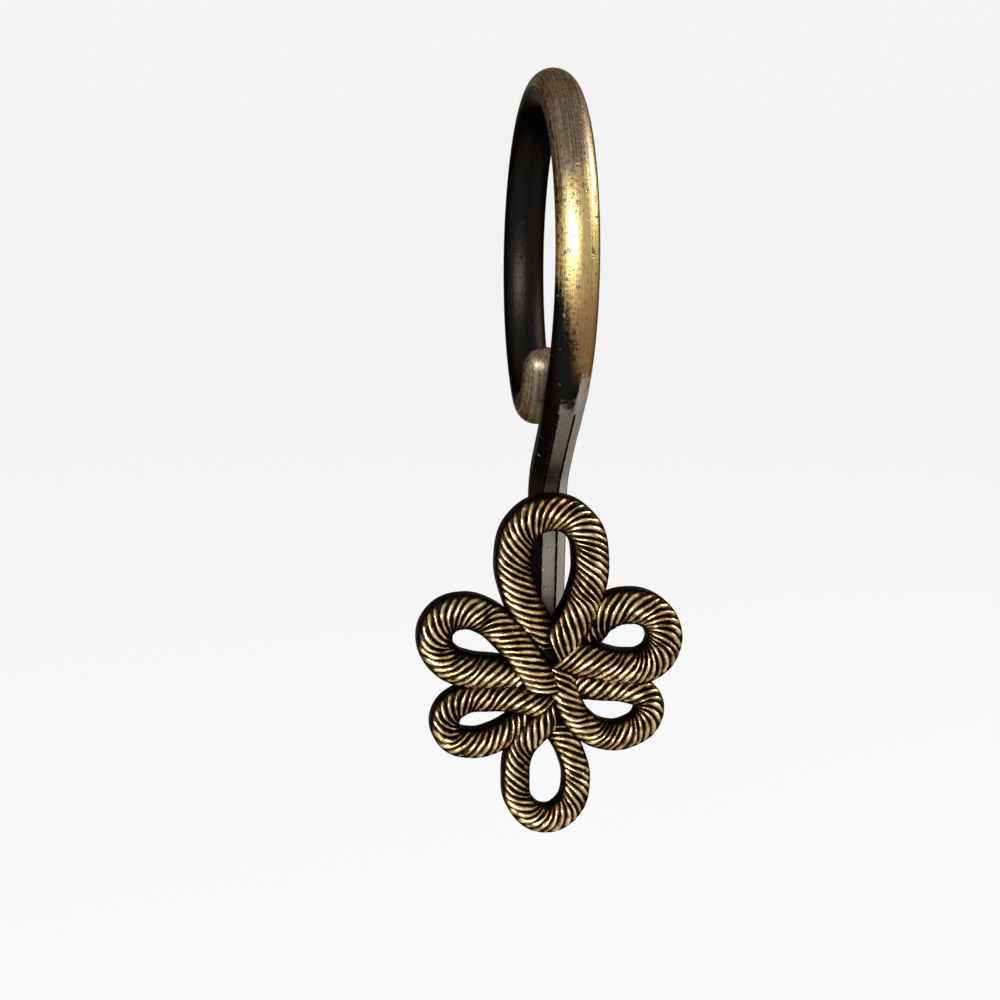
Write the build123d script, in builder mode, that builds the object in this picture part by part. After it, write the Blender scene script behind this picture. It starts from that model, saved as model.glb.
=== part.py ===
from build123d import *
import os
from math import atan2, cos, degrees, radians, sin, tan

# Shower curtain hook, in millimetres: a cast ring with a faceted neck, and a cast ornament in the
# form of a knotted rope, soldered to the neck's end. The origin is the centre of the ring. X runs
# along the curtain rod, the ornament faces -Y and +Z is up.

# Ring that rides on the rod, and the lip at its back end that carries the curtain
bar_diameter = 4.7
ring_radius = 18.8
lip_radius = 5.2
lip_start_angle = 58.0
lip_end_angle = 174.0

# Neck, from where it leaves the ring to the knot: its width is across the flats
neck_leave_angle = 45.0
neck_width = 4.15
neck_facets = 8
neck_depth = -2.8
neck_bend_radius = 6.0
facet_run_out = 7.5

# Peg on the neck's end, and the boss behind the knot that it is soldered into
knot_drop = 46.4
peg_diameter = 3.0
peg_length = 5.5
socket_clearance = 0.06
solder_gap = 0.05
boss_wall = 1.2
boss_height = 8.0
boss_bite = 1.0

# Rope of the ornament: its lay, and the grooves between its strands
ornament_clearance = 0.55
rope_pitch = 1.4
rope_slant = 30.0
groove_depth = 0.8
groove_width = 0.8
crown_facets = 3

# Top loop, in front of the neck: the angles between which it is round, and where its two strands
# end at the knot
top_eye_height = 15.15
top_eye_radius = 4.35
top_round = (-12.0, 192.0)
top_rope_width = 4.0
top_rope_height = 4.0
top_right_end = (-0.4, 2.7)
top_left_end = (-0.8, 4.8)

# Upper pair of side loops
upper_eye_reach = 9.8
upper_eye_height = 5.3
upper_eye_radius = 3.1
upper_left_round = (75.0, 280.0)
upper_right_round = (-100.0, 105.0)
upper_rope_width = 3.9
upper_rope_height = 4.4
upper_left_over_end = (-0.5, -0.5)
upper_left_under_end = (-3.5, 2.4)
upper_right_over_end = (1.0, 3.6)
upper_right_under_end = (4.2, 5.8)

# Lower pair of side loops
lower_eye_reach = 8.95
lower_eye_drop = 3.35
lower_eye_radius = 2.6
lower_left_round = (85.0, 290.0)
lower_right_round = (-105.0, 95.0)
lower_rope_width = 3.2
lower_rope_height = 3.8
lower_left_over_end = (-0.6, -2.0)
lower_left_under_end = (-3.3, -3.1)
lower_right_over_end = (1.0, 1.6)
lower_right_under_end = (3.9, -1.4)

# Bottom loop
bottom_eye_drop = 11.7
bottom_eye_radius = 3.5
bottom_round = (165.0, 375.0)
bottom_rope_width = 3.0
bottom_rope_height = 3.4
bottom_left_end = (0.6, -2.9)
bottom_right_end = (1.2, -4.6)

# The side view is drawn in the plane of the ring: its x runs to the back, its y runs up.
side_plane = Plane(origin=(0, 0, 0), x_dir=(0, 1, 0), z_dir=(1, 0, 0))

# The ornament is drawn from the front on its flat back: its x runs right, its y runs up from the
# knot's centre, and its z runs out to the front.
back_face = neck_depth - neck_width / 2 - ornament_clearance
knot_plane = Plane(origin=(0, back_face, -knot_drop), x_dir=(1, 0, 0), z_dir=(0, -1, 0))


def heading(angle):
    """Unit direction in a sketch at an angle in degrees."""
    return (cos(radians(angle)), sin(radians(angle)))


def on_circle(centre, radius, angle):
    """Point of a circle at an angle in degrees, counted from the sketch's x."""
    along = heading(angle)
    return (centre[0] + radius * along[0], centre[1] + radius * along[1])


# The neck leaves the ring along its tangent and leans back until it stands behind the knot.
bar_radius = bar_diameter / 2
leave_angle = 180 + neck_leave_angle
facet_turn = 180 / neck_facets
leave_point = on_circle((0, 0), ring_radius, leave_angle)
neck_heading = heading(leave_angle + 90)
run_out_end = on_circle(leave_point, facet_run_out, leave_angle + 90)
lean_length = (neck_depth - leave_point[0]) / neck_heading[0]
neck_corner = on_circle(leave_point, lean_length, leave_angle + 90)
neck_end = -knot_drop + boss_height / 2
run_out_plane = Plane(
    origin=(0, *run_out_end),
    x_dir=(1, 0, 0),
    z_dir=(0, -neck_heading[0], -neck_heading[1]),
)
facet_flare = degrees(atan2((bar_diameter - neck_width) / 2, facet_run_out))
lip_centre = on_circle((0, 0), ring_radius - lip_radius, -lip_start_angle)
lip_tip = on_circle(lip_centre, lip_radius, -lip_end_angle)

# Ring, lip and neck, cast in one
with BuildPart() as cast_hook:
    # Upper stretch of the neck: the round bar, pared by flat facets that run out towards the ring
    with BuildSketch(run_out_plane):
        Circle(bar_radius)
    extrude(amount=facet_run_out)
    with BuildSketch(run_out_plane):
        RegularPolygon(neck_width / 2, neck_facets, major_radius=False, rotation=facet_turn)
    extrude(amount=facet_run_out, taper=-facet_flare, mode=Mode.INTERSECT)

    # Lower stretch of the neck: the facets go on, round the bend and down behind the knot
    with BuildLine(side_plane) as neck_line:
        FilletPolyline(
            run_out_end,
            neck_corner,
            (neck_depth, neck_end),
            radius=neck_bend_radius,
        )
    with BuildSketch(run_out_plane):
        RegularPolygon(neck_width / 2, neck_facets, major_radius=False, rotation=facet_turn)
    sweep(path=neck_line.wires()[0])

    # Ring over the rod and down behind it, into the lip with its rounded tip
    with BuildLine(side_plane) as ring_line:
        CenterArc((0, 0), ring_radius, leave_angle, -leave_angle - lip_start_angle)
        CenterArc(lip_centre, lip_radius, -lip_start_angle, lip_start_angle - lip_end_angle)
    with BuildSketch(run_out_plane.offset(facet_run_out)):
        Circle(bar_radius)
    sweep(path=ring_line.wires()[0])
    with Locations((0, *lip_tip)):
        Sphere(bar_radius)

    # Peg on the neck's end
    with BuildSketch(Plane.XY.offset(neck_end)):
        with Locations((0, neck_depth)):
            Circle(peg_diameter / 2)
    extrude(amount=-peg_length)
cast_hook.part.label = "cast_hook"


def strand(start, end, set_out):
    """Arc from one point to another that sets out at an angle in degrees."""
    run, rise = end[0] - start[0], end[1] - start[1]
    swing = (set_out - degrees(atan2(rise, run)) + 180) % 360 - 180
    bulge = tan(radians(swing / 2)) / 2
    middle = ((start[0] + end[0]) / 2 - rise * bulge, (start[1] + end[1]) / 2 + run * bulge)
    ThreePointArc(start, middle, end)


def rope_outline(width, height):
    """Outline of the rope cut across: a flat back, straight sides and a crown of flat facets."""
    half = width / 2
    centre = (0, height - half)
    crown = [on_circle(centre, half, 180 * side / crown_facets) for side in range(crown_facets + 1)]
    return [(half, 0), *crown, (-half, 0)]


def groove_cutter(length):
    """Bar of triangular section, point down, whose flat top stands clear of the rope's crest."""
    top = groove_depth / 2
    half = groove_width / 2 * (groove_depth + top) / groove_depth
    with BuildPart(mode=Mode.PRIVATE) as cutter:
        with BuildSketch():
            with BuildLine():
                Polyline((0, -groove_depth), (half, top), (-half, top), close=True)
            make_face()
        extrude(amount=length / 2, both=True)
    return cutter.part


def rope_loop(eye, eye_radius, round_from, round_to, first_end, last_end, width, height):
    """One loop of the rope: a round eye, and two strands that leave it along its tangents.

    The loop is round between two angles, counted counter-clockwise about the eye. The ends are
    the points at the knot where the strands that leave at those angles stop.
    """
    first = on_circle(eye, eye_radius, round_from)
    last = on_circle(eye, eye_radius, round_to)
    with BuildLine(knot_plane) as over_line:
        strand(first, first_end, round_from - 90)
        CenterArc(eye, eye_radius, round_from, round_to - round_from)
    with BuildLine(knot_plane) as under_line:
        strand(last, last_end, round_to + 90)
    paths = [over_line.wires()[0], under_line.wires()[0]]
    front = knot_plane.z_dir
    with BuildPart() as loop:
        for path in paths:
            with BuildSketch(Plane(path @ 0, x_dir=front.cross(path % 0), z_dir=path % 0)):
                with BuildLine():
                    Polyline(*rope_outline(width, height), close=True)
                make_face()
            sweep(path=path)
        grooves = []
        for path in paths:
            count = round(path.length / rope_pitch)
            for step in range(count):
                share = (step + 0.5) / count
                lay = (path % share).rotate(Axis((0, 0, 0), front), 90 - rope_slant)
                crest = path @ share + front * height
                grooves.append(Location(Plane(crest, x_dir=front.cross(lay), z_dir=lay)))
        with Locations(*grooves):
            add(groove_cutter(width / cos(radians(rope_slant))), mode=Mode.SUBTRACT)
    return loop.part


loops = [
    rope_loop(
        (0, top_eye_height), top_eye_radius, *top_round,
        top_right_end, top_left_end, top_rope_width, top_rope_height,
    ),
    rope_loop(
        (-upper_eye_reach, upper_eye_height), upper_eye_radius, *upper_left_round,
        upper_left_over_end, upper_left_under_end, upper_rope_width, upper_rope_height,
    ),
    rope_loop(
        (upper_eye_reach, upper_eye_height), upper_eye_radius, *upper_right_round,
        upper_right_over_end, upper_right_under_end, upper_rope_width, upper_rope_height,
    ),
    rope_loop(
        (-lower_eye_reach, -lower_eye_drop), lower_eye_radius, *lower_left_round,
        lower_left_over_end, lower_left_under_end, lower_rope_width, lower_rope_height,
    ),
    rope_loop(
        (lower_eye_reach, -lower_eye_drop), lower_eye_radius, *lower_right_round,
        lower_right_over_end, lower_right_under_end, lower_rope_width, lower_rope_height,
    ),
    rope_loop(
        (0, -bottom_eye_drop), bottom_eye_radius, *bottom_round,
        bottom_left_end, bottom_right_end, bottom_rope_width, bottom_rope_height,
    ),
]

# Ornament: the six loops of the knot in one casting, with a boss behind its centre for the peg
with BuildPart() as rope_ornament:
    for loop in loops:
        add(loop)
    socket_radius = peg_diameter / 2 + socket_clearance
    boss_radius = socket_radius + boss_wall
    boss_front = back_face - boss_bite
    with BuildSketch(Plane.XY.offset(neck_end - solder_gap)):
        with Locations((0, neck_depth)):
            Circle(boss_radius)
        with Locations((0, (neck_depth + boss_front) / 2)):
            Rectangle(2 * boss_radius, neck_depth - boss_front)
    extrude(amount=-boss_height)
    with BuildSketch(Plane.XY.offset(neck_end - solder_gap)):
        with Locations((0, neck_depth)):
            Circle(socket_radius)
    extrude(amount=-peg_length, mode=Mode.SUBTRACT)
rope_ornament.part.label = "rope_ornament"

os.makedirs("parts", exist_ok=True)
export_step(cast_hook.part, "parts/cast_hook.step")
export_step(rope_ornament.part, "parts/rope_ornament.step")
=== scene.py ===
"""Shower curtain hook: a cast ring with a faceted neck, and a knotted rope ornament in antique brass."""
from math import atan2, cos, hypot, pi, radians, sin, tan, tau

import bmesh
import bpy
from bpy.props import FloatProperty, FloatVectorProperty, IntProperty, PointerProperty
from bpy.types import Operator, Panel, PropertyGroup
from mathutils import Matrix, Vector


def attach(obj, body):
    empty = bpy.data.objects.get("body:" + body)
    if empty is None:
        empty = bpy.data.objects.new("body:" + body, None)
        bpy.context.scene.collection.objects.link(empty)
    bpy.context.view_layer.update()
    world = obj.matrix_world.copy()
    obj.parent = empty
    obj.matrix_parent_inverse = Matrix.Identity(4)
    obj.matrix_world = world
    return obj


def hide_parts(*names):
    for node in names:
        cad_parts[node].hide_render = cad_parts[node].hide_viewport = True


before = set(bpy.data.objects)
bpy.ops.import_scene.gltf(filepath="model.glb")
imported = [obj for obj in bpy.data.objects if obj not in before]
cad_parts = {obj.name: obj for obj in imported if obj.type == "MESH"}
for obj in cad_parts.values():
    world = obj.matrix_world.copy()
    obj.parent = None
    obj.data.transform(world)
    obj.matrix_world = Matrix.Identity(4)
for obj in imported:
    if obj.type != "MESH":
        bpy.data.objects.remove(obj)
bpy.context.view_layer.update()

bl_info = {
    "name": "Rope Knot Curtain Hook",
    "version": (1, 0, 0),
    "blender": (4, 5, 0),
    "location": "3D View > Sidebar > Curtain Hook",
    "description": "Models a cast curtain hook with a knotted rope ornament in antique brass",
    "category": "Add Mesh",
}

MM = 0.001

# How near, in metres, points lie that count as one: at the neck's seams, and between rope strands
SEAM_SLACK = 5e-6
WELD_SLACK = 2e-6

# Hook: the flats round its neck, the faces along its bends, and the share of the bar's diameter
# within which a point is on the bar
FACETS = 8
RING_STEPS = 150
LIP_STEPS = 36
DOME_STEPS = 7
BEND_STEPS = 16
RUN_OUT_CUTS = 9
ON_BAR = 0.6
FACET_CREASE = radians(32)

# Rope: the faces round it and along its route, and the cuts along each strand
ROPE_SIDES = 40
ROUTE_STEPS = 32
STRAND_CUTS = 7
ROPE_CREASE = radians(70)

# Section of the rope, as angles: from straight up to where the flat foot begins and to where the
# grooves end, the stretch over which they fade out, and from straight down to the foot's edge
FOOT_START = radians(92)
GROOVE_END = radians(84)
GROOVE_FADE = radians(30)
FOOT_SPAN = radians(81)
CREST_FULLNESS = 1.1

# Unevenness of the casting in millimetres: the strands' drift along the rope, by waves that each have
# a turn in radians over a loop and a share, and the size, height and sunk share of their bumps
LAY_DRIFT = 0.16
LAY_WAVES = ((41.0, 0.6), (67.0, 0.4))
BUMP_SIZE = 0.9
BUMP_HEIGHT = 0.30
BUMP_SUNK = 0.75

# Boss: the faces round it, and the angle past which its edges are rounded
BOSS_SIDES = 48
BOSS_CREASE = radians(50)

# Metals: the tint of what they mirror at a glance, which is dark so that black patina and painted
# black shade have no grey rim, their roughness, the depth of their grain in millimetres, and the
# places from front to back, in metres, between which the ornament turns to its plain brown back
EDGE_TINT = (0.30, 0.26, 0.22, 1.0)
METAL_ROUGHNESS = 0.40
GRAIN_DEPTH = 0.06
BACK_FADE = (-0.0066, -0.0054)

# Stage in metres: the floor, how bright it looks and how much of that is its own, the light from all
# round and how bright its source looks
FLOOR_SIZE = 12.0
FLOOR_HEIGHT = -0.115
FLOOR_GLOW = 1.01
FLOOR_SHARE = 0.94
ROOM_LIGHT = 0.7
ROOM_LOOK = 1.0

# Lamps: name, place, width and height, and power in watts
LAMPS = (
    ("key", (-0.285, -0.385, 0.155), (0.42, 0.14), 5.0),
    ("side", (0.44, 0.09, 0.23), (0.20, 0.20), 3.0),
)
LAMP_AIM = (0.0, 0.0, -0.02)

# Camera: the place it looks at and how far away it is, its angles round, above and about the view,
# and its lens and sensor in millimetres
CAMERA_AIM = (-0.00546, -0.00401, -0.02612)
CAMERA_DISTANCE = 0.32
CAMERA_TURN = radians(-8.3)
CAMERA_RISE = radians(8.9)
CAMERA_ROLL = radians(1.3)
CAMERA_LENS = 104.5
CAMERA_SENSOR = 36.0

# Routes of the knot's six loops, as drawn from the front: millimetres right of and above the knot's
# centre, and how far the rope is lifted off the ornament's back there
ROUTES = {
    "top": (
        (-1.0, 5.2, -1.2), (-1.9, 7.1, -0.5), (-3.5, 10.3, 0.0), (-4.3, 14.3, 0.0), (-3.2, 17.9, 0.0),
        (0.0, 19.4, 0.0), (3.2, 17.9, 0.0), (4.3, 14.3, 0.0), (3.75, 10.1, 0.1), (2.2, 6.7, 0.4),
        (0.5, 4.1, 0.1),
    ),
    "upper_left": (
        (-0.6, -0.1, 0.1), (-2.6, 2.95, 0.6), (-4.8, 5.75, 0.5), (-7.4, 7.85, 0.1), (-9.9, 8.4, 0.0),
        (-12.1, 7.4, 0.0), (-12.8, 5.15, 0.0), (-11.6, 3.0, 0.0), (-9.0, 1.85, 0.0), (-6.4, 1.55, -0.2),
        (-3.5, 1.1, -0.9),
    ),
    "upper_right": (
        (1.4, 3.5, 0.0), (4.9, 2.8, 0.2), (8.2, 2.05, 0.1), (11.2, 2.55, 0.0), (12.7, 4.5, 0.0),
        (12.55, 6.7, 0.0), (11.0, 8.4, 0.0), (8.4, 8.9, 0.0), (6.2, 8.1, -0.4), (4.7, 6.4, -1.2),
    ),
    "lower_left": (
        (-0.6, -2.2, -0.2), (-3.6, -1.35, 0.2), (-6.7, -1.15, 0.1), (-9.85, -1.65, 0.0),
        (-11.45, -3.5, 0.0), (-10.9, -5.55, 0.0), (-8.6, -6.4, 0.0), (-5.8, -5.8, -0.2),
        (-3.0, -4.2, -0.9),
    ),
    "lower_right": (
        (1.2, 1.65, -0.1), (2.0, -1.45, 0.3), (3.65, -4.1, 0.3), (6.3, -5.6, 0.0), (9.3, -5.3, 0.0),
        (11.2, -3.55, 0.0), (11.0, -1.4, 0.0), (8.75, -0.35, 0.0), (5.6, -0.1, -0.3), (3.1, 0.0, -0.9),
    ),
    "bottom": (
        (0.5, -3.2, 0.1), (-1.3, -4.85, 0.3), (-3.0, -7.1, 0.1), (-3.45, -10.2, 0.0), (-2.8, -13.4, 0.0),
        (-0.2, -15.1, 0.0), (2.4, -13.9, 0.0), (3.35, -10.8, 0.0), (2.6, -7.5, 0.0), (0.9, -4.6, -0.6),
    ),
}

# Places where metal fills the knot's back between the strands: right of and above its centre, radius
WEBS = ((0.0, 0.0, 4.2), (4.7, 5.6, 1.4), (1.4, -4.4, 0.9), (-2.9, -4.6, 0.8))

# Rope that each loop is made of
ROPE_OF_ROUTE = {
    "top": "top_rope",
    "upper_left": "upper_rope",
    "upper_right": "upper_rope",
    "lower_left": "lower_rope",
    "lower_right": "lower_rope",
    "bottom": "bottom_rope",
}


def length_property(label, what, value):
    """A length that a user may change, shown in the scene's units."""
    return FloatProperty(name=label, description=what, default=value * MM, unit="LENGTH", precision=5)


def angle_property(label, what, value):
    """An angle that a user may change, given in degrees."""
    return FloatProperty(name=label, description=what, default=radians(value), subtype="ANGLE")


def colour_property(label, what, value):
    """A colour that a user may change."""
    return FloatVectorProperty(
        name=label, description=what, default=value, subtype="COLOR", size=3, min=0, max=1
    )


class HookSizes(PropertyGroup):
    """Sizes of the cast ring, its lip and its neck."""

    bar_diameter: length_property("Bar", "Diameter of the ring's round bar", 4.68)
    ring_radius: length_property("Ring radius", "Radius of the ring's centre line", 18.8)
    lip_radius: length_property("Lip radius", "Radius of the lip's centre line", 5.2)
    lip_start: angle_property("Lip start", "Angle below the back where the lip begins", 58)
    lip_end: angle_property("Lip end", "Angle about the lip's centre where its tip is", 174)
    neck_leave: angle_property("Neck leave", "Angle below the front where the neck begins", 45)
    neck_width: length_property("Neck", "Width of the neck across its flats", 4.15)
    neck_depth: length_property("Neck depth", "Place of the upright neck behind the knot", -2.8)
    neck_bend: length_property("Neck bend", "Radius of the neck's bend", 6.0)
    run_out: length_property("Run-out", "Length over which the facets fade into the bar", 7.5)
    edge_wear: length_property("Edge wear", "Width of the worn edges between the facets", 0.16)
    bar_sides: IntProperty(name="Bar sides", description="Faces round the bar", default=48, min=16)


class KnotSizes(PropertyGroup):
    """Sizes of the knotted rope and of the boss behind it."""

    drop: length_property("Drop", "Depth of the knot's centre below the ring's centre", 46.4)
    back_face: length_property("Back", "Place of the ornament's flat back", -5.425)
    top_rope: length_property("Top rope", "Width of the top loop's rope", 4.0)
    upper_rope: length_property("Upper rope", "Width of the upper side loops' rope", 3.9)
    lower_rope: length_property("Lower rope", "Width of the lower side loops' rope", 3.2)
    bottom_rope: length_property("Bottom rope", "Width of the bottom loop's rope", 3.0)
    flank: length_property("Flank", "Height of the rope's straight sides", 2.1)
    pitch: length_property("Pitch", "Spacing of the rope's strands along it", 0.82)
    groove: length_property("Groove", "Depth of the grooves between the strands", 0.42)
    slant: angle_property("Slant", "Lean of the strands from square across the rope", 30)
    peg: length_property("Peg", "Diameter of the neck's peg", 3.0)
    peg_length: length_property("Peg length", "Length of the neck's peg", 5.5)
    boss_wall: length_property("Boss wall", "Wall of the boss round the peg", 1.2)
    boss_height: length_property("Boss height", "Height of the boss", 8.0)
    boss_bite: length_property("Boss bite", "How far the boss reaches into the knot", 1.0)
    boss_edge: length_property("Boss edge", "Rounding of the boss's edges", 0.25)
    socket_clearance: length_property("Socket clearance", "Gap round the peg for solder", 0.06)
    solder_gap: length_property("Solder gap", "Gap under the neck's shoulder", 0.05)
    back_step: length_property("Back step", "How much each loop's back leans, from end to end", 0.02)
    web_depth: length_property("Web depth", "Thickness of the metal that fills the knot's back", 1.4)
    web_sink: length_property("Web sink", "How far that metal lies inside the knot's back", 0.15)


class HookFinish(PropertyGroup):
    """Colours of the antique brass, and of the painted reflections, highlight and shade on it."""

    # Painted highlight on the highest crests of the rope
    crest_highlight: colour_property("White gold", "Brightest crests of the rope", (0.84, 0.70, 0.45))
    pale_gold: colour_property("Pale gold", "Rubbed crests of the rope", (0.46, 0.31, 0.12))
    # Gold and amber are a painted reflection on the ring's front
    gold: colour_property("Gold", "Reflecting front of the ring", (0.47, 0.335, 0.135))
    fading_reflection_amber: colour_property("Amber", "Reflected gold where it fades down the ring", (0.25, 0.145, 0.058))
    bronze: colour_property("Bronze", "Light brushed streaks on the ring", (0.235, 0.178, 0.118))
    brown: colour_property("Brown", "Dark brushed streaks on the ring", (0.062, 0.045, 0.030))
    rust: colour_property("Rust", "Red-brown sides of the strands", (0.095, 0.045, 0.022))
    # Patina in the rope's hollows, and painted black shade on the ring
    patina_and_shade: colour_property("Patina", "Black patina in the hollows", (0.010, 0.009, 0.008))
    # Both flat colours are a painted reflection on the neck's front and right flats
    pale_flat_reflection: colour_property("Pale nickel", "Flat on the neck's right", (0.36, 0.325, 0.28))
    flat_reflection: colour_property("Reflection", "Flat on the neck's front", (0.24, 0.23, 0.195))
    backdrop: colour_property("Backdrop", "Floor and backdrop", (0.9, 0.9, 0.9))


class Shade:
    """A socket of a shader tree. Arithmetic on it adds Math nodes."""

    def __init__(self, tree, socket=None):
        self.tree = tree
        self.socket = socket

    def node(self, kind, inputs=None, output=0, **settings):
        """Adds a node with its settings and inputs, and gives one of its outputs."""
        node = self.tree.nodes.new(kind)
        for name, value in settings.items():
            setattr(node, name, value)
        for name, value in (inputs or {}).items():
            socket = node.inputs[name]
            if isinstance(value, Shade):
                self.tree.links.new(value.socket, socket)
            else:
                socket.default_value = value
        return Shade(self.tree, node.outputs[output] if len(node.outputs) else None)

    def math(self, operation, *values):
        """Adds a Math node."""
        return self.node("ShaderNodeMath", dict(enumerate(values)), operation=operation)

    def __add__(self, other):
        return self.math("ADD", self, other)

    def __radd__(self, other):
        return self.math("ADD", other, self)

    def __sub__(self, other):
        return self.math("SUBTRACT", self, other)

    def __rsub__(self, other):
        return self.math("SUBTRACT", other, self)

    def __mul__(self, other):
        return self.math("MULTIPLY", self, other)

    def __rmul__(self, other):
        return self.math("MULTIPLY", other, self)

    def ramp(self, low, high):
        """Rises smoothly from 0 at one value to 1 at another."""
        inputs = {"Value": self, "From Min": low, "From Max": high}
        return self.node("ShaderNodeMapRange", inputs, interpolation_type="SMOOTHSTEP")

    def blend(self, first, second):
        """Mixes two colours by this value."""
        inputs = {0: self, 6: first, 7: second}
        return self.node("ShaderNodeMix", inputs, output=2, data_type="RGBA")

    def noise(self, vector, scale, detail, roughness):
        """Smooth noise over a vector, about 0.5."""
        inputs = {"Vector": vector, "Scale": scale, "Detail": detail, "Roughness": roughness}
        return self.node("ShaderNodeTexNoise", inputs)

    def parts(self, vector):
        """Three parts of a vector."""
        node = self.node("ShaderNodeSeparateXYZ", {"Vector": vector}).socket.node
        return [Shade(self.tree, output) for output in node.outputs]

    def stretched(self, vector, factors):
        """A vector times a factor for each of its parts."""
        inputs = {0: vector, 1: factors}
        return self.node("ShaderNodeVectorMath", inputs, operation="MULTIPLY")


def colour(value):
    """A colour with full alpha, as sockets take it."""
    return (*value, 1.0)


def new_material(name):
    """A material with no nodes yet, and the builder of its nodes."""
    material = bpy.data.materials.new(name)
    material.use_nodes = True
    material.node_tree.nodes.clear()
    return material, Shade(material.node_tree)


def close_metal(nodes, base, roughness, height):
    """Ends a metal: base colour, roughness and grain into one shader with a dull edge."""
    bump = nodes.node(
        "ShaderNodeBump", {"Strength": 1.0, "Distance": GRAIN_DEPTH * MM, "Height": height}
    )
    shader = nodes.node(
        "ShaderNodeBsdfPrincipled",
        {
            "Base Color": base, "Metallic": 1.0, "Roughness": roughness, "Normal": bump,
            "Specular Tint": EDGE_TINT,
        },
    )
    nodes.node("ShaderNodeOutputMaterial", {"Surface": shader})


def brushed_brass(finish):
    """Antique brass of the hook: brushed brown over the ring, with a painted gold reflection at its
    front and painted black shade below it.
    """
    material, nodes = new_material("brushed_antique_brass")
    place = nodes.node("ShaderNodeAttribute", output="Vector", attribute_name="bar_place")
    across, outward, along = nodes.parts(place)
    facet = nodes.node("ShaderNodeAttribute", output="Fac", attribute_name="facet")
    point = nodes.node("ShaderNodeTexCoord", output="Object")

    # Brushing along the bar, and the casting's grain, blotches and flecks
    streaks = nodes.noise(nodes.stretched(place, (7.0, 7.0, 0.06)), 1.0, 4.0, 0.6) - 0.5
    hairlines = nodes.noise(nodes.stretched(place, (26.0, 26.0, 0.14)), 1.0, 2.0, 0.5) - 0.5
    grain = nodes.noise(point, 2400.0, 3.0, 0.7) - 0.5
    blotches = nodes.noise(point, 300.0, 4.0, 0.6) - 0.5
    flecks = nodes.noise(point, 1100.0, 2.0, 0.5)

    # Brown brass over the ring, and a painted reflection in gold at its front that fades to amber
    # downwards
    tone = streaks * 0.9 + hairlines * 1.0 + grain * 0.8 + blotches * 0.35
    dull = tone.ramp(-0.38, 0.42).blend(colour(finish.brown), colour(finish.bronze))
    fading = (along + across * 2.0 + streaks * 5.0).ramp(-16.0, -8.0)
    key_reflection = fading.blend(colour(finish.gold), colour(finish.fading_reflection_amber))
    # front is where the painted gold reflection lies
    front = (along + across + streaks * 9.0 + blotches * 8.0 + grain * 5.0).ramp(-27.0, -20.5)
    pitted = (flecks + blotches * 0.3).ramp(0.70, 0.64)
    brass = (front * pitted * tone.ramp(-0.45, 0.05)).blend(dull, key_reflection)

    # Where the brass shows: painted black shade covers the inside of the ring, its right rim and, below
    # a ragged edge at its front, its left side; the neck stays black too
    shade_edge = (along + streaks * 6.0).ramp(-19.0, -4.0) * 1.25 - 1.05
    ragged = streaks * 0.8 + hairlines * 0.7 + grain * 0.9 + blotches * 0.5
    beside = (across + ragged - shade_edge).ramp(-0.32, 0.30)
    right_rim = (across + ragged * 0.3).ramp(0.97, 0.80)
    outside = (outward + ragged * 0.5).ramp(-0.10, 0.40) * right_rim
    above = (along + blotches * 7.0 + grain * 7.0 - across * 2.0).ramp(-2.8, -6.5)
    # worn is 1 where the brass shows and 0 under the painted black shade
    worn = beside * outside * above

    # Painted reflection on the neck's front and right flats, off their edges, and painted glints on the
    # black
    start = across.ramp(0.22, 0.42) * -3.5 - 0.6
    begun = (along - start + blotches * 5.0 + grain * 4.0).ramp(-1.0, 1.2)
    kept = (facet + grain * 0.35 + flecks * 0.1).ramp(0.16, 0.26)
    strips = across.ramp(-0.44, -0.34) * outward.ramp(0.10, 0.22)
    flats = strips * begun * kept
    glints = (flecks + grain * 0.2).ramp(0.70, 0.76) * outward.ramp(-0.2, 0.3) * 0.7
    flat_reflection = across.ramp(0.30, 0.44).blend(colour(finish.flat_reflection), colour(finish.pale_flat_reflection))
    black = flats.math("MAXIMUM", flats, glints).blend(colour(finish.patina_and_shade), flat_reflection)

    base = worn.blend(black, brass)
    roughness = METAL_ROUGHNESS - worn * front * 0.05 + grain * 0.2 + hairlines * 0.15
    height = streaks * 0.35 + hairlines * 0.28 + grain * 0.5 + blotches * 0.5 + pitted * 0.4
    close_metal(nodes, base, roughness, height)
    return material


def rope_brass(finish):
    """Antique brass of the knot: pale gold on the strands' crests with a painted highlight on the
    highest, black between and beside them.
    """
    material, nodes = new_material("rope_antique_brass")
    crest = nodes.node("ShaderNodeAttribute", output="Fac", attribute_name="crest")
    point = nodes.node("ShaderNodeTexCoord", output="Object")
    grain = nodes.noise(point, 2600.0, 3.0, 0.6) - 0.5
    ridges = nodes.noise(point, 900.0, 2.0, 0.5) - 0.5
    blotches = nodes.noise(point, 300.0, 3.0, 0.55) - 0.5
    behind = nodes.parts(point)[1].ramp(*BACK_FADE)

    # From black hollows by rust to the rubbed crests and a painted highlight on the highest, with a
    # plain brown back
    level = crest + grain * 0.6 + ridges * 1.1 + blotches * 0.9
    base = level.ramp(0.30, 0.52).blend(colour(finish.patina_and_shade), colour(finish.rust))
    base = level.ramp(0.48, 0.82).blend(base, colour(finish.pale_gold))
    base = level.ramp(0.86, 1.20).blend(base, colour(finish.crest_highlight))
    base = (behind * (0.6 + blotches + grain * 0.5)).blend(base, colour(finish.brown))
    roughness = METAL_ROUGHNESS - level.ramp(0.4, 1.0) * 0.14 + grain * 0.2
    close_metal(nodes, base, roughness, grain * 0.6 + ridges * 0.5)
    return material


def deselect_all():
    """Leaves nothing selected, in object mode."""
    if bpy.context.object and bpy.context.object.mode != "OBJECT":
        bpy.ops.object.mode_set(mode="OBJECT")
    bpy.ops.object.select_all(action="DESELECT")


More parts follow.
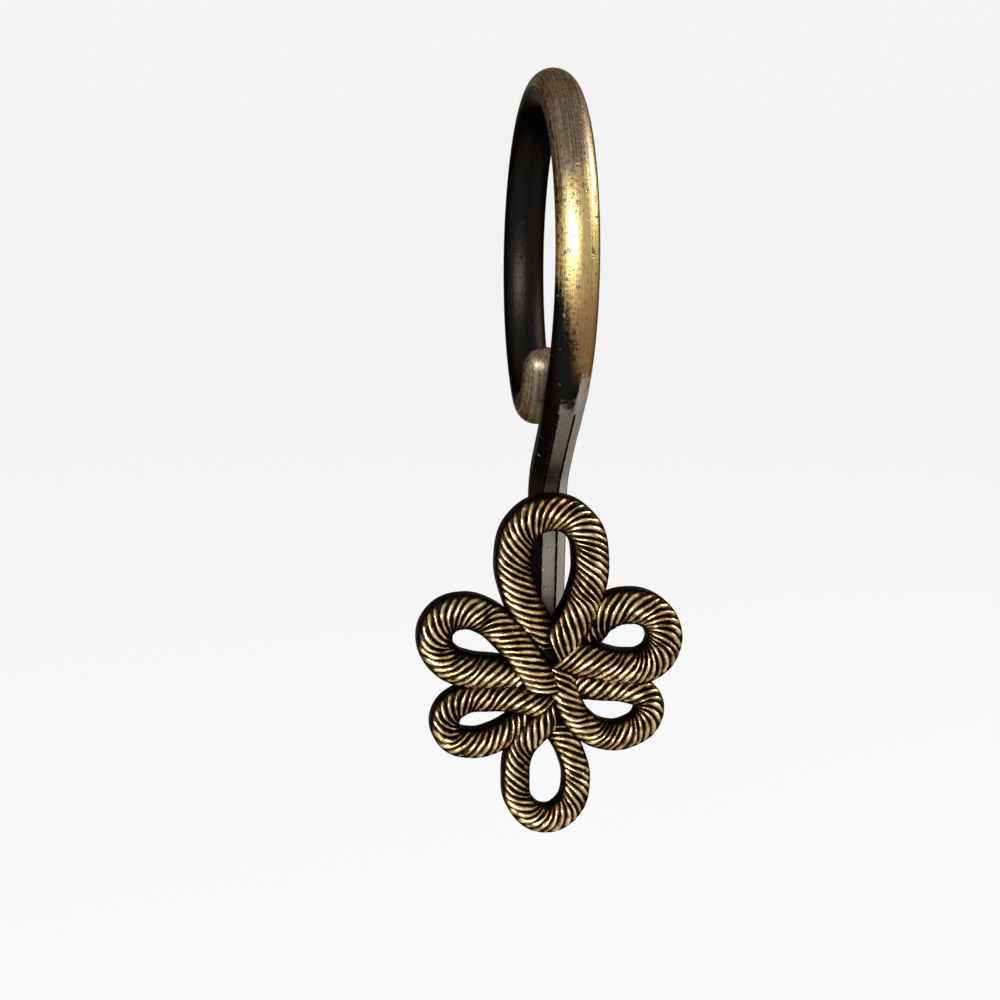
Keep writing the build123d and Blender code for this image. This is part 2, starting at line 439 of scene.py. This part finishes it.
def only(*pieces):
    """Selects these objects alone and makes the first one active."""
    deselect_all()
    for piece in pieces:
        piece.select_set(True)
    bpy.context.view_layer.objects.active = pieces[0]


def select_points(test):
    """In edit mode, selects the points whose place passes a test."""
    mesh = bmesh.from_edit_mesh(bpy.context.object.data)
    bpy.ops.mesh.select_all(action="DESELECT")
    for point in mesh.verts:
        point.select = test(point.co)
    mesh.select_flush(True)
    bmesh.update_edit_mesh(bpy.context.object.data)


def push_edges(offset):
    """Extrudes the selected edges by an offset."""
    bpy.ops.mesh.extrude_edges_move(TRANSFORM_OT_translate={"value": offset})


def apply_modifier(piece, kind, **settings):
    """Adds a modifier with its settings and applies it."""
    modifier = piece.modifiers.new(kind.lower(), kind)
    for name, value in settings.items():
        setattr(modifier, name, value)
    bpy.ops.object.modifier_apply(modifier=modifier.name)


def dress(piece, node, material):
    """Gives a finished piece its material and seats it in the frame in place of its CAD node."""
    piece.data.materials.clear()
    piece.data.materials.append(material)
    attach(piece, "root")
    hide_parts(node)


class HookLines:
    """Places along the bar that the ring, the lip and the neck share, in the ring's plane."""

    def __init__(self, hook, knot):
        middle = Vector((0, 0, 0))
        lip_reach = hook.ring_radius - hook.lip_radius
        self.leave_angle = pi + hook.neck_leave
        self.leave = self.on_circle(middle, hook.ring_radius, self.leave_angle)
        self.lean = self.on_circle(middle, 1.0, self.leave_angle + pi / 2)
        self.lip_centre = self.on_circle(middle, lip_reach, -hook.lip_start)
        self.tip = self.on_circle(self.lip_centre, hook.lip_radius, -hook.lip_end)
        self.tip_heading = self.on_circle(middle, 1.0, -hook.lip_end - pi / 2)
        self.run_out_end = self.leave + self.lean * hook.run_out
        corner = self.leave + self.lean * ((hook.neck_depth - self.leave.y) / self.lean.y)
        setback = hook.neck_bend * tan(hook.neck_leave / 2)
        self.bend_start = corner - self.lean * setback
        self.bend_centre = Vector((0, hook.neck_depth - hook.neck_bend, corner.z - setback))
        self.bend_end = Vector((0, hook.neck_depth, corner.z - setback))
        self.neck_end = Vector((0, hook.neck_depth, -knot.drop + knot.boss_height / 2))

    @staticmethod
    def on_circle(centre, radius, angle):
        """Point of a circle in the ring's plane, at an angle counted from the back."""
        return centre + Vector((0, cos(angle), sin(angle))) * radius

    def place(self, co, hook):
        """How far a point lies outward from the bar's centre line, and how far along that line."""
        bar = hook.bar_diameter / 2
        reach = (co - self.leave).dot(self.lean)
        bend_reach = (self.bend_start - self.leave).dot(self.lean)
        off_lean = co - self.leave - self.lean * reach
        off_bend = (co - self.bend_centre).yz
        turn = atan2(co.z, co.y)
        if co.z < self.bend_end.z:
            along = bend_reach + hook.neck_bend * hook.neck_leave + self.bend_end.z - co.z
            return hook.neck_depth - co.y, along
        if reach > bend_reach and co.z < -hook.ring_radius - bar:
            bent = hook.neck_leave - atan2(off_bend.y, off_bend.x)
            return hook.neck_bend - off_bend.length, bend_reach + hook.neck_bend * bent
        if reach > 0 and off_lean.length < hook.bar_diameter * ON_BAR:
            outward = Vector((0, -cos(hook.neck_leave), -sin(hook.neck_leave)))
            return off_lean.dot(outward), reach
        if hook.neck_leave - pi < turn < -hook.lip_start:
            lip_turn = atan2(co.z - self.lip_centre.z, co.y - self.lip_centre.y)
            along = hook.ring_radius * (self.leave_angle + hook.lip_start)
            along += hook.lip_radius * ((-hook.lip_start - lip_turn) % tau)
            return (co - self.lip_centre).yz.length - hook.lip_radius, -along
        along = hook.ring_radius * ((self.leave_angle - turn) % tau)
        return hypot(co.y, co.z) - hook.ring_radius, -along


class CURTAIN_OT_cast_hook(Operator):
    """Spin the ring and its lip from a circle, and draw the faceted neck down to its peg"""

    bl_idname = "curtain.cast_hook"
    bl_label = "Cast Hook"

    def execute(self, context):
        hook, knot = context.scene.hook_sizes, context.scene.knot_sizes
        lines = HookLines(hook, knot)
        bar = hook.bar_diameter / 2

        deselect_all()
        bpy.ops.mesh.primitive_circle_add(
            vertices=hook.bar_sides, radius=bar, location=lines.leave, rotation=(hook.neck_leave, 0, 0)
        )
        piece = context.object
        piece.name = "ring_and_neck"
        bpy.ops.object.transform_apply()
        bpy.ops.object.mode_set(mode="EDIT")
        bpy.ops.mesh.select_all(action="SELECT")
        bpy.ops.mesh.spin(
            steps=RING_STEPS, angle=lines.leave_angle + hook.lip_start, center=(0, 0, 0),
            axis=(1, 0, 0),
        )
        bpy.ops.mesh.spin(
            steps=LIP_STEPS, angle=hook.lip_end - hook.lip_start, center=lines.lip_centre,
            axis=(1, 0, 0),
        )
        self.round_tip(lines, bar)
        self.draw_neck(lines, hook, knot)
        bpy.ops.mesh.select_all(action="SELECT")
        bpy.ops.mesh.normals_make_consistent(inside=False)
        bpy.ops.object.mode_set(mode="OBJECT")
        apply_modifier(
            piece, "BEVEL", width=hook.edge_wear, segments=2, limit_method="ANGLE",
            angle_limit=FACET_CREASE,
        )
        self.mark_places(piece, lines, hook)
        bpy.ops.object.shade_smooth_by_angle(angle=FACET_CREASE)
        dress(piece, "cast_hook", brushed_brass(context.scene.hook_finish))
        return {"FINISHED"}

    def round_tip(self, lines, bar):
        """Closes the lip's open end with a dome."""
        at, size = 0.0, 1.0
        for step in range(1, DOME_STEPS):
            turn = pi / 2 * step / DOME_STEPS
            push_edges(lines.tip_heading * bar * (sin(turn) - at))
            at = sin(turn)
            centre = lines.tip + lines.tip_heading * bar * at
            bpy.ops.transform.resize(value=[cos(turn) / size] * 3, center_override=centre)
            size = cos(turn)
        push_edges(lines.tip_heading * bar * (1 - at))
        bpy.ops.mesh.merge(type="COLLAPSE")

    def draw_neck(self, lines, hook, knot):
        """Draws the octagonal neck round its bend to the peg, and bridges it to the ring."""
        turned = Matrix.Rotation(hook.neck_leave, 3, "X") @ Matrix.Rotation(pi / FACETS, 3, "Z")
        bpy.ops.mesh.select_all(action="DESELECT")
        bpy.ops.mesh.primitive_circle_add(
            vertices=FACETS, radius=hook.neck_width / 2 / cos(pi / FACETS), location=lines.run_out_end,
            rotation=turned.to_euler(),
        )
        bpy.ops.mesh.subdivide(number_cuts=hook.bar_sides // FACETS - 1)
        push_edges(lines.bend_start - lines.run_out_end)
        bpy.ops.mesh.spin(
            steps=BEND_STEPS, angle=hook.neck_leave, center=lines.bend_centre, axis=(1, 0, 0)
        )
        push_edges(lines.neck_end - lines.bend_end)
        push_edges((0, 0, 0))
        peg_share = knot.peg / hook.neck_width * cos(pi / FACETS)
        bpy.ops.transform.resize(value=[peg_share] * 3, center_override=lines.neck_end)
        push_edges((0, 0, -knot.peg_length))
        bpy.ops.mesh.edge_face_add()

        def on_seam(co):
            reach = (co - lines.leave).dot(lines.lean)
            on_cut = min(abs(reach), abs(reach - hook.run_out)) < SEAM_SLACK
            centre = lines.leave + lines.lean * reach
            return on_cut and (co - centre).length < hook.bar_diameter * ON_BAR

        select_points(on_seam)
        bpy.ops.mesh.bridge_edge_loops(number_cuts=RUN_OUT_CUTS, interpolation="LINEAR")

    def mark_places(self, piece, lines, hook):
        """Keeps each point's place on the bar: across, outward and, in millimetres, along."""
        bar = hook.bar_diameter / 2
        piece.data.attributes.new("bar_place", "FLOAT_VECTOR", "POINT")
        piece.data.attributes.new("facet", "FLOAT", "POINT")
        places, facets = (piece.data.attributes[name].data for name in ("bar_place", "facet"))
        for point, place, facet in zip(piece.data.vertices, places, facets):
            outward, along = lines.place(point.co, hook)
            place.vector = (point.co.x / bar, outward / bar, along / MM)
            facet.value = self.edge_distance(point.co.x, outward, hook) / MM if along > 0 else 1.0

    @staticmethod
    def edge_distance(across, outward, hook):
        """How far a place on the neck is from the nearest edge between two facets."""
        side = tau / FACETS
        off_middle = (atan2(across, outward) + side / 2) % side - side / 2
        return hook.neck_width / 2 * (tan(side / 2) - tan(abs(off_middle)))


class CURTAIN_OT_rope_knot(Operator):
    """Lay six loops of twisted rope on the bench, join them into one casting and stand it up"""

    bl_idname = "curtain.rope_knot"
    bl_label = "Rope Knot"

    def execute(self, context):
        knot, hook = context.scene.knot_sizes, context.scene.hook_sizes
        loops = [self.rope_loop(context, name, knot) for name in ROUTES]
        piece = loops[0]
        for loop in loops[1:]:
            self.merge(piece, loop, "UNION")
        only(piece)
        piece.name = "rope_knot"
        piece.rotation_euler = (pi / 2, 0, 0)
        piece.location = (0, knot.back_face, -knot.drop)
        bpy.ops.object.transform_apply()
        self.add_boss(piece, knot, hook)
        only(piece)
        bpy.ops.object.shade_smooth_by_angle(angle=ROPE_CREASE)
        dress(piece, "rope_ornament", rope_brass(context.scene.hook_finish))
        return {"FINISHED"}

    def merge(self, piece, tool, operation):
        """Joins a tool to a piece, or cuts it out, and throws the tool away."""
        only(piece)
        apply_modifier(piece, "BOOLEAN", object=tool, operation=operation, solver="MANIFOLD")
        bpy.data.objects.remove(tool)

    def draw_route(self, context, name):
        """Draws a loop's route as a smooth curve through its places."""
        deselect_all()
        bpy.ops.curve.primitive_bezier_curve_add()
        route = context.object
        route.data.dimensions = "3D"
        route.data.twist_mode = "Z_UP"
        route.data.resolution_u = ROUTE_STEPS
        bends = route.data.splines[0].bezier_points
        bends.add(len(ROUTES[name]) - len(bends))
        for bend, (right, up, lift) in zip(bends, ROUTES[name]):
            bend.co = (right * MM, up * MM, lift * MM)
            bend.handle_left_type = bend.handle_right_type = "AUTO"
        context.view_layer.update()
        return route

    def rope_loop(self, context, name, knot):
        """One loop: a strand of rope, repeated along its route and set flat at the back."""
        route = self.draw_route(context, name)
        length = route.data.splines[0].calc_length()
        count = round(length / knot.pitch)
        loop = self.rope_strand(getattr(knot, ROPE_OF_ROUTE[name]), length / count, knot)
        loop.name = name + "_loop"
        apply_modifier(
            loop, "ARRAY", count=count, use_relative_offset=False, use_constant_offset=True,
            constant_offset_displace=(length / count, 0, 0), use_merge_vertices=True,
            merge_threshold=WELD_SLACK,
        )
        self.loosen(loop, length)
        apply_modifier(loop, "CURVE", object=route, deform_axis="POS_X")
        bpy.data.objects.remove(route)
        self.roughen(loop)
        self.set_flat(loop, list(ROUTES).index(name), knot)
        bpy.ops.object.mode_set(mode="EDIT")
        bpy.ops.mesh.select_all(action="SELECT")
        bpy.ops.mesh.fill_holes(sides=0)
        bpy.ops.mesh.select_all(action="SELECT")
        bpy.ops.mesh.normals_make_consistent(inside=False)
        bpy.ops.object.mode_set(mode="OBJECT")
        return loop

    def set_flat(self, loop, order, knot):
        """Sets a loop's feet on the back, each a touch apart, so that no two faces coincide."""
        feet = loop.data.attributes["foot"].data
        for point, foot in zip(loop.data.vertices, feet):
            if foot.value:
                point.co.z = (order + point.index / len(feet)) * knot.back_step

    def loosen(self, loop, length):
        """Makes the lay uneven: the strands crowd and spread a little along the rope."""
        starts = (1.0, length / MM)
        for point in loop.data.vertices:
            share = max(0.0, min(1.0, point.co.x / length))
            waves = zip(LAY_WAVES, starts)
            drift = sum(sin(wave * share + start) * part for (wave, part), start in waves)
            point.co.x += drift * sin(pi * share) * LAY_DRIFT * MM

    def roughen(self, loop):
        """Gives the strands' crests the uneven heights of a casting."""
        crowns = loop.vertex_groups.new(name="crowns")
        for index, crest in enumerate(loop.data.attributes["crest"].data):
            crowns.add([index], min(1.0, crest.value), "REPLACE")
        unevenness = bpy.data.textures.new("unevenness", "CLOUDS")
        unevenness.noise_scale = BUMP_SIZE * MM
        apply_modifier(
            loop, "DISPLACE", texture=unevenness, texture_coords="LOCAL", vertex_group=crowns.name,
            strength=BUMP_HEIGHT * MM, mid_level=BUMP_SUNK,
        )
        bpy.data.textures.remove(unevenness)

    def rope_strand(self, width, pitch, knot):
        """One strand of the rope's lay: a slice of tube, slanted, with a rounded crest."""
        deselect_all()
        bpy.ops.mesh.primitive_cylinder_add(
            vertices=ROPE_SIDES, radius=width / 2, depth=pitch, end_fill_type="NOTHING",
            location=(0, 0, 0), rotation=(0, pi / 2, 0),
        )
        strand = bpy.context.object
        bpy.ops.object.transform_apply()
        bpy.ops.object.mode_set(mode="EDIT")
        mesh = bmesh.from_edit_mesh(strand.data)
        bpy.ops.mesh.select_mode(type="EDGE")
        bpy.ops.mesh.select_all(action="DESELECT")
        for edge in mesh.edges:
            edge.select = abs(edge.verts[0].co.x - edge.verts[1].co.x) > pitch / 2
        bmesh.update_edit_mesh(strand.data)
        bpy.ops.mesh.subdivide(number_cuts=STRAND_CUTS)
        bpy.ops.mesh.select_mode(type="VERT")
        bpy.ops.object.mode_set(mode="OBJECT")
        strand.data.attributes.new("crest", "FLOAT", "POINT")
        strand.data.attributes.new("foot", "BOOLEAN", "POINT")
        crests, feet = (strand.data.attributes[name].data for name in ("crest", "foot"))
        for point, crest, foot in zip(strand.data.vertices, crests, feet):
            foot.value = abs(atan2(point.co.y, point.co.z)) > FOOT_START
            point.co, crest.value = self.strand_point(point.co, width / 2, pitch, knot)
        return strand

    @staticmethod
    def strand_point(co, half, pitch, knot):
        """Place of a tube's point on the strand, and how near it is to the strand's crest."""
        share = co.x / pitch + 0.5
        turn = atan2(co.y, co.z)
        side = max(-pi / 2, min(pi / 2, turn))
        swell = sin(pi * min(1.0, max(0.0, share))) ** CREST_FULLNESS
        fade = max(0.0, min(1.0, (GROOVE_END - abs(turn)) / GROOVE_FADE))
        radius = half - knot.groove * fade * (1 - swell)
        lead = half * pi / 2 * tan(knot.slant)
        if abs(turn) <= FOOT_START:
            along = share * pitch + lead * side / (pi / 2)
            place = (along, radius * sin(side), knot.flank + radius * cos(side))
        else:
            beside = min(1.0, (pi - abs(turn)) / FOOT_SPAN) * (1 if turn > 0 else -1)
            place = (share * pitch + lead * beside, half * beside, 0)
        return place, swell * fade

    def add_boss(self, piece, knot, hook):
        """Adds the boss behind the knot, with the socket that the neck's peg is soldered into."""
        bore = knot.peg / 2 + knot.socket_clearance
        outside = bore + knot.boss_wall
        top = -knot.drop + knot.boss_height / 2 - knot.solder_gap
        middle = top - knot.boss_height / 2
        front = knot.back_face - knot.boss_bite
        deselect_all()
        bpy.ops.mesh.primitive_cylinder_add(
            vertices=BOSS_SIDES, radius=outside, depth=knot.boss_height,
            location=(0, hook.neck_depth, middle),
        )
        boss = bpy.context.object
        bpy.ops.object.transform_apply()
        bpy.ops.mesh.primitive_cube_add(size=1, location=(0, (hook.neck_depth + front) / 2, middle))
        saddle = bpy.context.object
        saddle.scale = (2 * outside, hook.neck_depth - front, knot.boss_height)
        only(saddle)
        bpy.ops.object.transform_apply()
        self.merge(boss, saddle, "UNION")
        only(boss)
        apply_modifier(
            boss, "BEVEL", width=knot.boss_edge, segments=3, limit_method="ANGLE",
            angle_limit=BOSS_CREASE,
        )
        deselect_all()
        bpy.ops.mesh.primitive_cylinder_add(
            vertices=BOSS_SIDES, radius=bore, depth=2 * knot.peg_length,
            location=(0, hook.neck_depth, top),
        )
        socket = bpy.context.object
        bpy.ops.object.transform_apply()
        self.merge(boss, socket, "DIFFERENCE")
        only(piece, boss, *(self.add_web(knot, *place) for place in WEBS))
        bpy.ops.object.join()

    def add_web(self, knot, right, up, radius):
        """Fills a place between the strands at the back with a disc of metal."""
        deselect_all()
        bpy.ops.mesh.primitive_cylinder_add(
            vertices=BOSS_SIDES, radius=radius * MM, depth=knot.web_depth, rotation=(pi / 2, 0, 0),
            location=(
                right * MM,
                knot.back_face - knot.web_sink - knot.web_depth / 2,
                up * MM - knot.drop,
            ),
        )
        web = bpy.context.object
        bpy.ops.object.transform_apply()
        return web


class CURTAIN_OT_stage(Operator):
    """Set the floor, the soft light and the camera"""

    bl_idname = "curtain.stage"
    bl_label = "Stage"

    def execute(self, context):
        finish = context.scene.hook_finish
        self.floor(finish)
        self.world(context.scene, finish)
        self.lamps(context.scene)
        self.camera(context.scene)
        context.scene.view_settings.view_transform = "Standard"
        return {"FINISHED"}

    def floor(self, finish):
        """Lays a floor that takes light and shadow but looks as pale as the backdrop."""
        deselect_all()
        bpy.ops.mesh.primitive_plane_add(size=FLOOR_SIZE, location=(0, 0, FLOOR_HEIGHT))
        floor = bpy.context.object
        floor.name = "floor"
        material, nodes = new_material("pale_floor")
        lit = nodes.node("ShaderNodeBsdfDiffuse", {"Color": colour(finish.backdrop)})
        pale = nodes.node(
            "ShaderNodeEmission", {"Color": colour(finish.backdrop), "Strength": FLOOR_GLOW}
        )
        share = self.seen_directly(nodes) * FLOOR_SHARE
        shader = nodes.node("ShaderNodeMixShader", {0: share, 1: lit, 2: pale})
        nodes.node("ShaderNodeOutputMaterial", {"Surface": shader})
        floor.data.materials.append(material)

    @staticmethod
    def seen_directly(nodes):
        """1 where the camera, a reflection or glass looks straight at a surface."""
        path = nodes.node("ShaderNodeLightPath").socket.node.outputs
        seen = Shade(nodes.tree, path["Is Camera Ray"])
        for ray in ("Is Glossy Ray", "Is Transmission Ray"):
            seen = seen.math("MAXIMUM", seen, Shade(nodes.tree, path[ray]))
        return seen

    def world(self, scene, finish):
        """Lights the room from all round, by a source that looks like the backdrop."""
        world = bpy.data.worlds.new("studio")
        scene.world = world
        world.use_nodes = True
        world.node_tree.nodes.clear()
        nodes = Shade(world.node_tree)
        strength = self.seen_directly(nodes) * (ROOM_LOOK - ROOM_LIGHT) + ROOM_LIGHT
        light = nodes.node(
            "ShaderNodeBackground", {"Color": colour(finish.backdrop), "Strength": strength}
        )
        nodes.node("ShaderNodeOutputWorld", {"Surface": light})

    def lamps(self, scene):
        """Hangs the soft lamps, turned to the hook."""
        for name, place, size, power in LAMPS:
            light = bpy.data.lights.new(name, "AREA")
            light.shape = "RECTANGLE"
            light.size, light.size_y = size
            light.energy = power
            lamp = bpy.data.objects.new(name, light)
            lamp.location = place
            facing = Vector(LAMP_AIM) - lamp.location
            lamp.rotation_euler = facing.to_track_quat("-Z", "Y").to_euler()
            scene.collection.objects.link(lamp)

    def camera(self, scene):
        """Sets up the camera at the photograph's viewing angle."""
        eye = bpy.data.cameras.new("camera")
        eye.lens = CAMERA_LENS
        eye.sensor_width = CAMERA_SENSOR
        camera = bpy.data.objects.new("camera", eye)
        scene.collection.objects.link(camera)
        level = cos(CAMERA_RISE)
        toward = Vector((sin(CAMERA_TURN) * level, -cos(CAMERA_TURN) * level, sin(CAMERA_RISE)))
        camera.location = Vector(CAMERA_AIM) + toward * CAMERA_DISTANCE
        facing = Vector(CAMERA_AIM) - camera.location
        camera.rotation_euler = facing.to_track_quat("-Z", "Y").to_euler()
        camera.rotation_euler.rotate_axis("Z", CAMERA_ROLL)
        scene.camera = camera


class CURTAIN_PT_panel(Panel):
    """Shows the buttons that build the hook and set its stage"""

    bl_idname = "CURTAIN_PT_panel"
    bl_label = "Curtain Hook"
    bl_space_type = "VIEW_3D"
    bl_region_type = "UI"
    bl_category = "Curtain Hook"

    def draw(self, context):
        for operator in OPERATORS:
            self.layout.operator(operator.bl_idname)


OPERATORS = (CURTAIN_OT_cast_hook, CURTAIN_OT_rope_knot, CURTAIN_OT_stage)
CLASSES = (HookSizes, KnotSizes, HookFinish, *OPERATORS, CURTAIN_PT_panel)


def register():
    for kind in CLASSES:
        bpy.utils.register_class(kind)
    bpy.types.Scene.hook_sizes = PointerProperty(type=HookSizes)
    bpy.types.Scene.knot_sizes = PointerProperty(type=KnotSizes)
    bpy.types.Scene.hook_finish = PointerProperty(type=HookFinish)


def unregister():
    del bpy.types.Scene.hook_finish
    del bpy.types.Scene.knot_sizes
    del bpy.types.Scene.hook_sizes
    for kind in reversed(CLASSES):
        bpy.utils.unregister_class(kind)


def main():
    register()
    bpy.ops.curtain.cast_hook()
    bpy.ops.curtain.rope_knot()
    bpy.ops.curtain.stage()


if __name__ == "__main__":
    main()
